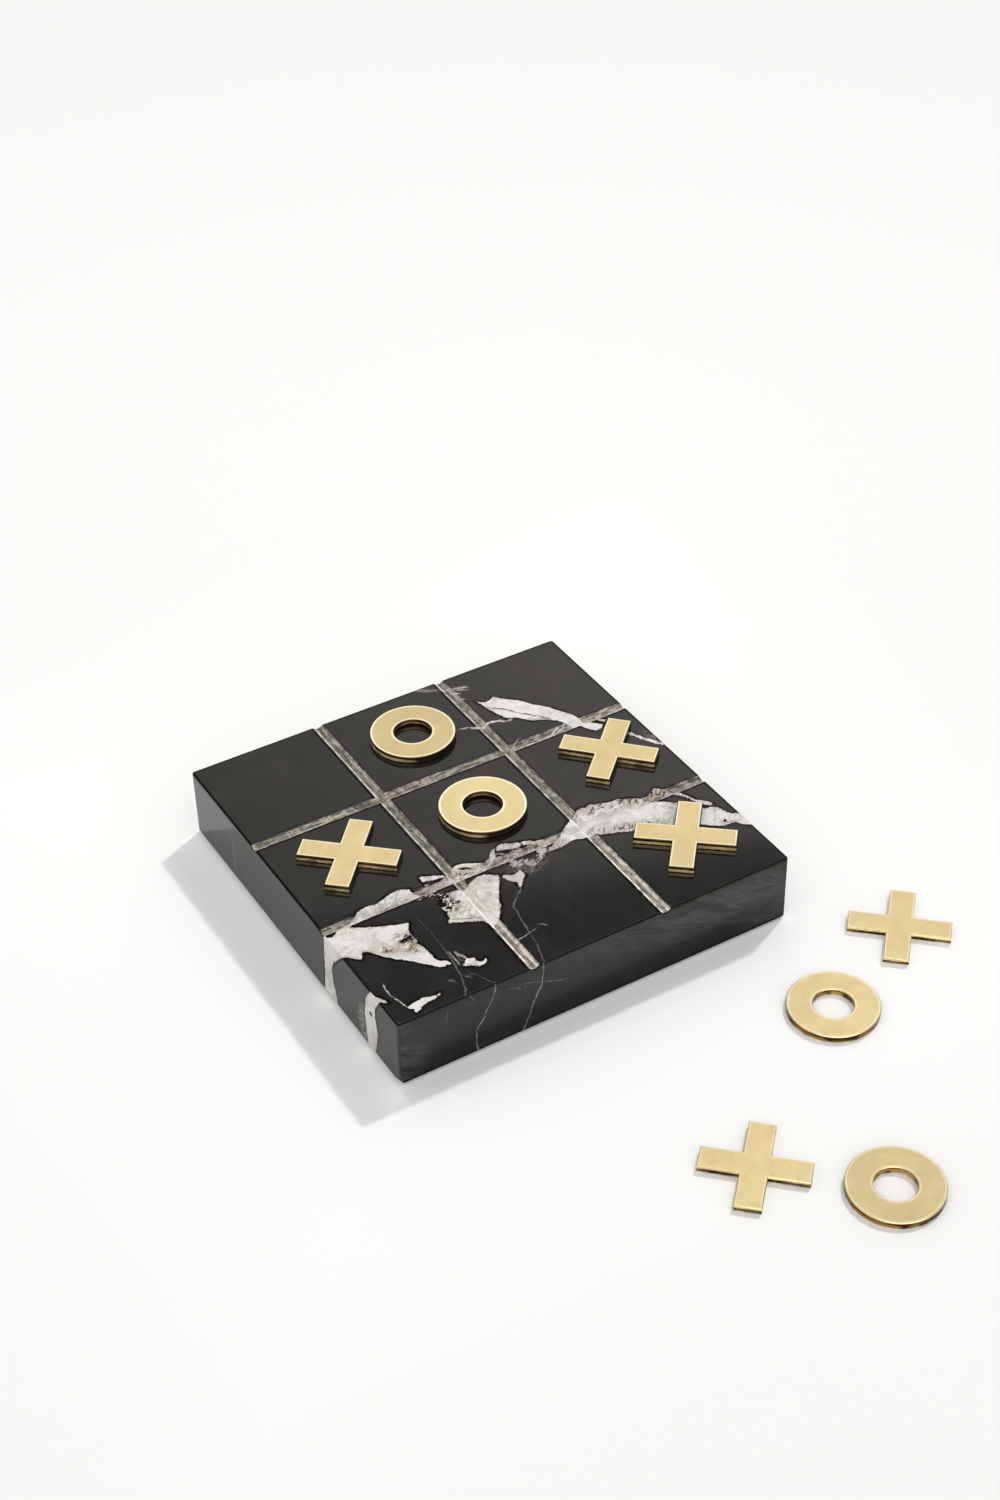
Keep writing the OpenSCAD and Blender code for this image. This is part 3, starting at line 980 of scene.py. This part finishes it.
def veinColour(spot, edge):
    look = marbleLook
    shatter = readValue("shatter")
    streaked = readValue("streaked")
    clouds = ramp(noiseAt(spot, 0.15, detail=5.0, rough=0.6, distort=0.8), 0.44, 0.68)
    streaks = noiseAt(stretched(spot, *marbleMarks["streaks"]), 1.0, detail=4.0, rough=0.6, distort=0.9)
    streaks = times(ramp(streaks, 0.50, 0.60), streaked)
    stain = ramp(noiseAt(spot, 0.4, detail=4.0), 0.36, 0.56)
    rind = times(ramp(edge, 0.3, 1.4, 0.5, 0.0), ramp(clouds, 0.1, 0.5))
    stain = larger(times(stain, readValue("tan")), rind)
    threads = calc("ABSOLUTE", swing(stretched(spot, *marbleMarks["threads"]), 0.55, 1.0, detail=4.0))
    threads = times(ramp(threads, 0.0, 0.018, 1.0, 0.0), ramp(stain, 0.0, 0.6, 0.25, 0.8))

    # short dark dashes near the borders and in the broken places
    nearBorder = times(streaked, ramp(edge, 1.5, 5.0, 1.0, 0.3))
    blush = noiseAt(stretched(spot, *marbleMarks["blush"]), 0.4, detail=4.0, rough=0.6)
    blush = times(ramp(blush, 0.44, 0.60), times(nearBorder, 0.7))
    dashes = noiseAt(stretched(spot, *marbleMarks["dashes"]), 0.46, detail=4.0, rough=0.6, distort=1.3)
    dashes = times(ramp(dashes, 0.520, 0.565), larger(nearBorder, shatter))
    specks = times(ramp(noiseAt(spot, 0.8, detail=4.0, rough=0.6), 0.56, 0.60), shatter)
    return layered(look["white"], look, (
        (times(clouds, 0.5), "grey"),
        (times(streaks, 0.4), "grey"),
        (times(readValue("dim"), 0.85), "dimmed"),
        (stain, "tan"),
        (threads, "crack"),
        (blush, "blush"),
        (dashes, "brown"),
        (specks, "brown"),
        (strandMask(spot, "cracks"), "crack"),
    ))


# dark, dull bands beside the grooves' edges and along the marked rims and foot: painted shade
def paintedEdgeShade():
    besideX = readValue("besideX")
    besideY = readValue("besideY")
    nearSide, farSide = (
        larger(nearLine(besideX, *grooveBands[edge]), nearLine(besideY, *grooveBands[edge]))
        for edge in ("nearEdge", "farEdge")
    )
    besideGroove = times(larger(nearSide, times(farSide, 0.4)), opposite(readValue("honed")))
    return larger(besideGroove, ramp(readValue("edged"), 0.0, 0.6))


def groundColour(spot, edged):
    look = marbleLook
    blots = ramp(noiseAt(spot, 0.06, detail=6.0, rough=0.62, distort=0.6), 0.42, 0.72)
    wisps = stretched(spot, *marbleMarks["wisps"], lean=wispLean)
    wisps = ramp(noiseAt(wisps, 1.0, detail=4.0, rough=0.54, distort=0.9), 0.30, 0.72)
    smokeAndSheen = times(wisps, readValue("smokeAndSheen"))
    return layered(look["black"], look, ((blots, "blackMarks"), (smokeAndSheen, "smokeAndSheen"), (edged, "edge")))


# painted highlights on the groove walls: the left and front walls, and the right wall more faintly
def grooveLipHighlights(spot):
    alongX = readValue("sawnAlongX")
    alongY = opposite(alongX)
    besideX = readValue("besideX")
    left = times(nearLine(besideX, *grooveBands["leftLip"]), alongY)
    # worn here only sets how strong the right wall's painted highlight is, by the saw marks' tone
    worn = times(alongY, ramp(readValue("sawnTone"), 1.0, 1.35, 0.22, 0.6))
    right = times(nearLine(besideX, *grooveBands["rightLip"]), worn)
    front = times(nearLine(readValue("besideY"), *grooveBands["frontLip"]), times(alongX, 0.65))
    broken = ramp(noiseAt(spot, 0.32, detail=4.0, rough=0.6), 0.42, 0.55, 0.25, 1.0)
    return times(larger(left, larger(right, front)), broken)


def sawnColour(spot, scored, lipHighlights):
    look = marbleLook
    blotches = noiseAt(spot, 0.28, detail=3.0, rough=0.6, distort=0.4)
    light = ramp(plus(times(scored, 0.6), times(blotches, 0.4)), 0.44, 0.56)
    # a darker middle along the grooves that run front to back: painted shade
    channelShade = nearLine(readValue("besideX"), *grooveBands["channelShade"])
    channelShade = times(channelShade, opposite(readValue("sawnAlongX")))
    nicks = ramp(noiseAt(spot, 0.7, detail=5.0, rough=0.65, distort=0.5), 0.56, 0.62)
    colour = layered(look["sawnDark"], look, (
        (light, "sawnLight"),
        (times(channelShade, 0.45), "sawnDark"),
        (times(nicks, 0.8), "sawnNick"),
        (times(lipHighlights, 0.88), "sawnLipHighlight"),
    ))
    return scaled(colour, readValue("sawnTone"))


def marbleMaterial():
    look = marbleLook
    material, shader = newMaterial("blackMarble")
    spot = objectMillimetres()
    honed = readValue("honed")

    # where the veins are
    shards = noiseAt(stretched(spot, *marbleMarks["shards"]), 1.0, detail=4.0, rough=0.6, distort=1.2)
    broken = times(times(minus(shards, 0.5), readValue("shatter")), look["shardReach"])
    edge = plus(readValue("patch"), swing(spot, 0.35, 1.0, detail=3.0))
    edge = plus(edge, swing(spot, 1.5, 0.9, detail=3.0))
    white = ramp(plus(edge, broken), -0.12, 0.14)
    strands = larger(strandMask(spot, "strandsA"), strandMask(spot, "strandsB"))
    mist = noiseAt(stretched(spot, *marbleMarks["mist"]), 1.0, detail=4.0, rough=0.65)
    haze = times(readValue("haze"), ramp(mist, 0.40, 0.64, 0.0, 0.5))
    gaps = noiseAt(stretched(spot, *marbleMarks["gaps"]), 0.6, detail=3.0, rough=0.5, distort=0.4)
    gaps = times(ramp(gaps, 0.545, 0.575), ramp(readValue("shatter"), 0.25, 0.75))
    vein = times(larger(larger(white, strands), haze), opposite(gaps))
    seam = times(ramp(edge, -1.35, -0.75), opposite(white))
    seam = times(seam, ramp(noiseAt(spot, 0.22), 0.36, 0.54, 0.3, 0.95))
    # edged: the painted edge shade, together with the veins' dark seams and gaps
    edged = larger(paintedEdgeShade(), larger(seam, gaps))
    colour = mixColour(vein, groundColour(spot, edged), veinColour(spot, edge))

    # saw marks in the grooves
    ragged = plus(swing(spot, 1.3, 0.5, detail=3.0), swing(spot, 0.3, 0.25))
    ragged = plus(times(ragged, 0.6), ramp(readValue("besideX"), -0.7, 0.7, -0.28, 0.16))
    sawn = ramp(plus(readValue("sawn"), ragged), -0.08, 0.08)
    alongX = noiseAt(stretched(spot, *marbleMarks["scoreAlongX"]), 1.0, detail=5.0, rough=0.65)
    alongY = noiseAt(stretched(spot, *marbleMarks["scoreAlongY"]), 1.0, detail=5.0, rough=0.65)
    scored = mixValue(readValue("sawnAlongX"), alongY, alongX)
    lipHighlights = grooveLipHighlights(spot)
    # where a groove cuts a vein, the painted lip highlight takes a whiter tone
    cutVein = mixColour(times(lipHighlights, 0.9), colour, look["veinLipHighlight"])
    groove = mixColour(times(vein, 0.94), sawnColour(spot, scored, lipHighlights), cutVein)

    # how smooth and how deep it all is
    worn = ramp(noiseAt(spot, 0.12, detail=4.0), 0.3, 0.7, *look["sidePolish"])
    roughness = mixValue(honed, mixValue(vein, look["polish"], look["veinPolish"]), worn)
    gloss = mixValue(readValue("dull"), look["mirror"], look["dullMirror"])
    grit = times(sawn, plus(scored, noiseAt(spot, 1.8, detail=3.0)))
    finish = times(honed, times(noiseAt(spot, 0.5, detail=4.0), 0.02))
    setInputs(shader, {
        "Base Color": mixColour(sawn, colour, groove),
        "Roughness": mixValue(sawn, roughness, look["sawnRough"]),
        "Specular IOR Level": mixValue(edged, gloss, look["edgeMirror"]),
        "Normal": bump(plus(grit, finish), look["relief"], 1.0),
    })
    return material


slabMesh = slabBlank()
paintSlab(slabMesh)
finishPiece("slab_marble", slabMesh, [marbleMaterial()], "board", "slab")
print("slab made:", len(slabMesh.polygons), "faces")


# Felt pads under the slab

padShape = {
    "segments": 64,
    "edge": 0.3 * mm,
    "edgeSteps": 3,
    "rings": 5,
}
feltLook = {
    "light": (0.050, 0.048, 0.046),
    "dark": (0.016, 0.015, 0.015),
    "rough": 0.95,
    "sheen": 0.3,
    "napDepth": 0.15,    # mm
}


def feltMaterial():
    look = feltLook
    material, shader = newMaterial("blackFelt")
    fibres = noiseAt(objectMillimetres(), 2.6, detail=6.0, rough=0.7, distort=1.5)
    setInputs(shader, {
        "Base Color": mixColour(ramp(fibres, 0.35, 0.68), look["dark"], look["light"]),
        "Roughness": look["rough"],
        "Sheen Weight": look["sheen"],
        "Normal": bump(fibres, look["napDepth"], 0.8),
    })
    return material


def padMesh(node):
    low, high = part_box(node)
    radius = (high.x - low.x) / 2
    middle = Matrix.Translation((low + high) / 2)
    bm = bmesh.new()
    bmesh.ops.create_cone(bm, cap_ends=True, segments=padShape["segments"], radius1=radius,
                          radius2=radius, depth=high.z - low.z, matrix=middle)
    bevelRims(bm, padShape["edge"], padShape["edgeSteps"])
    for step in range(padShape["rings"]):
        flats = [face for face in bm.faces if abs(face.normal.z) > 0.99 and len(face.verts) > 4]
        bmesh.ops.inset_region(bm, faces=flats, thickness=radius / (padShape["rings"] + 2))
    return meshFrom(bm, node + "_felt")


felt = feltMaterial()
for corner in ("front_left", "front_right", "back_left", "back_right"):
    node = "pad_" + corner
    finishPiece(node + "_felt", padMesh(node), [felt], "board", node)
print("pads made")


# Brass rings and crosses, all cut from one plate

brassShape = {
    "ringHole": 13.5 * mm,
    "ringSegments": 160,
    "crossLength": 35 * mm,
    "crossWidth": 8.7 * mm,
    "edge": 0.3 * mm,
    "edgeSteps": 3,
    "paintedHighlight": 0.95 * mm,      # width of the painted highlight along the edges of the face
    "creaseAngle": 12.0,
}

# grain is the way it was brushed, in degrees
# wearAndHighlightFade sets the smudges, scratches and duller finish, and also weakens the painted highlight
# along the face's edges
rings = {
    "ring_back": {"grain": 20, "tint": 0.88, "wearAndHighlightFade": 0.2},
    "ring_centre": {"grain": 75, "tint": 1.07, "wearAndHighlightFade": 0.1},
    "ring_loose_back": {"grain": 40, "tint": 0.98, "wearAndHighlightFade": 0.8},
    "ring_loose_front": {"grain": -25, "tint": 0.82, "wearAndHighlightFade": 1.0},
}

crosses = {
    "cross_left": {"turn": 48.0, "grain": 48, "tint": 1.01, "wearAndHighlightFade": 0.3},
    "cross_right": {"turn": 44.0, "grain": 134, "tint": 0.95, "wearAndHighlightFade": 0.3},
    "cross_front_right": {"turn": 50.5, "grain": 50.5, "tint": 0.95, "wearAndHighlightFade": 0.3},
    "cross_loose_back": {"turn": 47.5, "grain": 137, "tint": 0.96, "wearAndHighlightFade": 0.8},
    "cross_loose_front": {"turn": 46.5, "grain": 46.5, "tint": 0.96, "wearAndHighlightFade": 1.0},
}

brassLook = {
    "face": (0.95, 0.755, 0.400),
    "smudge": (0.72, 0.54, 0.25),
    "paintedHighlight": (1.0, 0.94, 0.68),
    "scratch": (0.60, 0.47, 0.24),
    "brightGrain": 1.03,
    "dimGrain": 0.96,
    "dullPatch": 0.88,
    "dullRim": 0.7,
    "fineGrain": (16.0, 0.28, 3.0),   # mm
    "broadGrain": (26.0, 1.8, 3.0),
    "scratchSize": (7.0, 0.09, 3.0),
    "scratchTurn": 1.1,               # radians from the grain
    "sawMarks": (2.4, 2.4, 0.7),
    "faceMetal": 0.72,
    "highlightMetal": 0.05,
    "sideMirror": 0.12,
    "faceRough": (0.29, 0.40),
    "rimRough": (0.25, 0.40),
    "sideRough": (0.20, 0.36),
    "wornRough": 0.10,
    "faceDepth": 0.02,                # mm, how deep the grain, the wear and the saw marks are
    "rimDepth": 0.08,
    "sideDepth": 0.06,
    "footFade": 0.18,                 # of the plate's thickness
    "lineFade": 0.12,
    "darkWay": (0.74, -0.67, 0.0),    # sides that face this way are painted darker: a painted reflection of the dark part of the room
    "darkFade": 0.32,
}

# How a side looks from its foot up: the foot, the body, and a dark line that starts below the rim.
# All of it is painted shade and painted reflection: on the stone a dark foot as painted contact shadow and
# reflection of the black stone, on the table a light foot as painted reflection of the pale floor, and
# orange hole walls as painted reflection of the brass. Heights are shares of the plate's thickness.
plainSide = {"lineEnd": 2.0, "metal": 0.65, "dark": 0.7, "darkFrom": 0.60}

paintedSideShading = {
    "stoneCross": {
        **plainSide,
        "foot": (0.030, 0.016, 0.002), "body": (1.0, 0.77, 0.37), "line": (0.018, 0.008, 0.001),
        "footTop": 0.22, "lineStart": 0.52, "lineLeast": 0.96, "blots": 0.6,
        "metal": 0.55, "dark": 0.97,
    },
    "stoneRing": {
        **plainSide,
        "foot": (0.020, 0.010, 0.002), "body": (0.74, 0.58, 0.29), "line": (0.016, 0.006, 0.001),
        "footTop": 0.22, "lineStart": 0.54, "lineLeast": 0.93, "blots": 0.5,
        "metal": 0.15, "dark": 0.97, "darkFrom": 0.05,
    },
    "stoneHole": {
        **plainSide,
        "foot": (0.006, 0.003, 0.001), "body": (0.74, 0.36, 0.16), "line": (0.024, 0.005, 0.001),
        "footTop": 0.44, "lineStart": 0.64, "lineLeast": 0.9, "blots": 0.3,
    },
    "tableCross": {
        **plainSide,
        "foot": (1.0, 0.93, 0.76), "body": (0.94, 0.70, 0.34), "line": (0.028, 0.011, 0.001),
        "footTop": 0.30, "lineStart": 0.18, "lineEnd": 0.60, "lineLeast": 0.8, "blots": 0.45,
        "dark": 0.0,
    },
    "tableRing": {
        **plainSide,
        "foot": (0.90, 0.74, 0.50), "body": (0.42, 0.23, 0.05), "line": (0.020, 0.007, 0.001),
        "footTop": 0.24, "lineStart": 0.50, "lineLeast": 0.5, "blots": 0.95,
        "dark": 0.6,
    },
    "tableHole": {
        **plainSide,
        "foot": (0.90, 0.74, 0.46), "body": (0.58, 0.35, 0.10), "line": (0.040, 0.017, 0.003),
        "footTop": 0.30, "lineStart": 0.66, "lineLeast": 0.5, "blots": 0.9,
    },
}

# bevel tones: painted reflections, dark on pieces that lie on the black stone and light on pieces that lie
# on the pale table
paintedRimReflections = {
    "stone": (0.08, 0.045, 0.012),
    "table": (0.80, 0.62, 0.31),
}


def darker(colour, share):
    return tuple(level * share for level in colour)


def brassFace(name, middle, grain, tint, wearAndHighlightFade):
    look = brassLook
    material, shader = newMaterial("brushedBrass_" + name)
    spot = objectMillimetres()
    centre = tuple(value / mm for value in middle)
    turn = math.radians(grain)
    fine = noiseAt(stretched(spot, look["fineGrain"], turn, centre), 1.0, detail=3.0, rough=0.6)
    broad = noiseAt(stretched(spot, look["broadGrain"], turn, centre), 1.0, detail=3.0, rough=0.5)
    brushed = plus(times(fine, 0.5), times(broad, 0.5))
    patchy = ramp(noiseAt(spot, 0.075, detail=3.0, rough=0.5, distort=0.8), 0.32, 0.68)
    smudges = ramp(noiseAt(spot, 0.16, detail=4.0, rough=0.6, distort=0.6), 0.45, 0.75)
    hairs = stretched(spot, look["scratchSize"], turn + look["scratchTurn"], centre)
    scratches = ramp(noiseAt(hairs, 1.0, detail=1.0), 0.70, 0.76)
    # a cream, mostly unmetallic band along the face's edges, weaker and more broken on worn pieces: a
    # painted highlight
    nibbled = plus(readValue("highlightBand"), swing(spot, 0.5, 0.5, detail=3.0))
    paintedHighlight = ramp(nibbled, 0.06 + 0.20 * wearAndHighlightFade, 0.36 + 0.30 * wearAndHighlightFade, 0.0, 1.0 - 0.55 * wearAndHighlightFade)
    tinted = darker(look["face"], tint)
    bright = tuple(min(level * look["brightGrain"], 0.99) for level in tinted)
    dim = darker(tinted, look["dimGrain"])
    colour = mixColour(ramp(brushed, 0.3, 0.7), dim, bright)
    colour = mixColour(times(patchy, 0.6), colour, darker(dim, look["dullPatch"]))
    roughness = ramp(brushed, 0.3, 0.7, *look["faceRough"])
    setInputs(shader, {
        "Base Color": layered(colour, look, (
            (times(smudges, 0.40 * wearAndHighlightFade), "smudge"),
            (times(scratches, 0.6 * wearAndHighlightFade), "scratch"),
            (paintedHighlight, "paintedHighlight"),
        )),
        "Metallic": mixValue(paintedHighlight, look["faceMetal"], look["highlightMetal"]),
        "Roughness": plus(roughness, times(smudges, look["wornRough"] * wearAndHighlightFade)),
        "Normal": bump(brushed, look["faceDepth"], 0.5),
    })
    return material


def brassRim(name, tone):
    look = brassLook
    material, shader = newMaterial("brassRim_" + name)
    worn = noiseAt(objectMillimetres(), 0.35, detail=4.0, rough=0.6)
    setInputs(shader, {
        "Base Color": mixColour(ramp(worn, 0.50, 0.72), tone, darker(tone, look["dullRim"])),
        "Metallic": 1.0,
        "Roughness": ramp(worn, 0.3, 0.7, *look["rimRough"]),
        "Normal": bump(worn, look["rimDepth"], 0.4),
    })
    return material


def brassSide(name, tones):
    look = brassLook
    material, shader = newMaterial("sawnBrassSide_" + name)
    spot = objectMillimetres()
    sawn = noiseAt(stretched(spot, look["sawMarks"]), 1.0, detail=4.0, rough=0.6)
    rise = plus(readValue("rise"), times(minus(sawn, 0.5), 0.3))
    foot = ramp(rise, tones["footTop"] - look["footFade"], tones["footTop"], 1.0, 0.0)
    lineStart = ramp(rise, tones["lineStart"], tones["lineStart"] + look["lineFade"])
    lineEnd = ramp(rise, tones["lineEnd"], tones["lineEnd"] + look["lineFade"], 1.0, 0.0)
    # the dark line, its dark blots along the side and the darkening of sides that face darkWay are painted
    # shade and painted reflection
    strength = ramp(noiseAt(spot, 0.09, detail=3.0), 0.42, 0.56, tones["lineLeast"], 1.0)
    blots = noiseAt(spot, 0.13, detail=4.0, rough=0.6, distort=0.6)
    turned = towards(coordinates("Normal"), look["darkWay"])
    dark = ramp(turned, tones["darkFrom"], tones["darkFrom"] + look["darkFade"], 0.0, tones["dark"])
    setInputs(shader, {
        "Base Color": layered(tones["body"], tones, (
            (foot, "foot"),
            (times(times(lineStart, lineEnd), strength), "line"),
            (ramp(blots, 0.44, 0.62, 0.0, tones["blots"]), "line"),
            (dark, "line"),
        )),
        "Metallic": tones["metal"],
        "Specular IOR Level": look["sideMirror"],
        "Roughness": ramp(sawn, 0.3, 0.7, *look["sideRough"]),
        "Normal": bump(sawn, look["sideDepth"], 0.5),
    })
    return material


def slotFor(face, centre):      # places in a piece's list of materials: face, rim, side, hole
    if face.normal.z > 0.98:
        return 0
    if face.normal.z > 0.1:
        return 1
    middle = face.calc_center_median() - centre
    inward = face.normal.x * middle.x + face.normal.y * middle.y < 0.0
    return 3 if inward else 2


def plateMesh(node, bm, turn=0.0):
    low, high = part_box(node)
    middle = (low + high) / 2
    height = high.z - low.z
    turned = Matrix.Rotation(math.radians(turn), 4, "Z")
    place = Matrix.Translation((middle.x, middle.y, low.z)) @ turned
    raised = bmesh.ops.extrude_face_region(bm, geom=bm.faces[:])["geom"]
    upper = [item for item in raised if isinstance(item, bmesh.types.BMVert)]
    bmesh.ops.translate(bm, verts=upper, vec=(0, 0, height))
    bmesh.ops.recalc_face_normals(bm, faces=bm.faces)
    bevelRims(bm, brassShape["edge"], brassShape["edgeSteps"])
    rise = bm.verts.layers.float.new("rise")
    highlightBand = bm.verts.layers.float.new("highlightBand")
    for vert in bm.verts:
        vert[rise] = vert.co.z / height
        vert[highlightBand] = 1.0
    top = [face for face in bm.faces if face.normal.z > 0.999]
    # the band left around the inset top face carries the painted highlight
    bmesh.ops.inset_region(bm, faces=top, thickness=brassShape["paintedHighlight"])
    for vert in {vert for face in top for vert in face.verts}:
        vert[highlightBand] = 0.0
    bmesh.ops.transform(bm, verts=bm.verts, matrix=place)
    for face in bm.faces:
        face.smooth = True
        face.material_index = slotFor(face, place.translation)
    for edge in bm.edges:
        flat = any(abs(face.normal.z) > 0.999 or abs(face.normal.z) < 0.01 for face in edge.link_faces)
        edge.smooth = not (flat and edge.calc_face_angle(0.0) > math.radians(brassShape["creaseAngle"]))
    return meshFrom(bm, node + "_brass")


def ringMesh(node):
    low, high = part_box(node)
    bm = bmesh.new()
    for radius in ((high.x - low.x) / 2, brassShape["ringHole"] / 2):
        bmesh.ops.create_circle(bm, segments=brassShape["ringSegments"], radius=radius)
    bmesh.ops.bridge_loops(bm, edges=bm.edges[:])
    return plateMesh(node, bm)


def crossMesh(node):
    halfLength = brassShape["crossLength"] / 2
    halfWidth = brassShape["crossWidth"] / 2
    bm = bmesh.new()
    bmesh.ops.create_grid(bm, x_segments=3, y_segments=3, size=halfLength)
    for vert in bm.verts:
        for axis in (0, 1):
            reach = halfLength if abs(vert.co[axis]) > halfLength * 0.9 else halfWidth
            vert.co[axis] = math.copysign(reach, vert.co[axis])
    middles = {face: face.calc_center_median() for face in bm.faces}
    corners = [face for face, spot in middles.items() if min(abs(spot.x), abs(spot.y)) > halfWidth]
    bmesh.ops.delete(bm, geom=corners, context="FACES")
    return plateMesh(node, bm, crosses[node]["turn"])


rimBrass = {lying: brassRim(lying, tone) for lying, tone in paintedRimReflections.items()}
sideBrass = {place: brassSide(place, tones) for place, tones in paintedSideShading.items()}
for group, build, shape in ((rings, ringMesh, "Ring"), (crosses, crossMesh, "Cross")):
    for node, look in group.items():
        low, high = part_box(node)
        face = brassFace(node, (low + high) / 2, look["grain"], look["tint"], look["wearAndHighlightFade"])
        lying = "stone" if low.z > slabHigh.z / 2 else "table"
        materials = [face, rimBrass[lying], sideBrass[lying + shape], sideBrass[lying + "Hole"]]
        finishPiece(node + "_brass", build(node), materials, node, node)
print("brass pieces made")
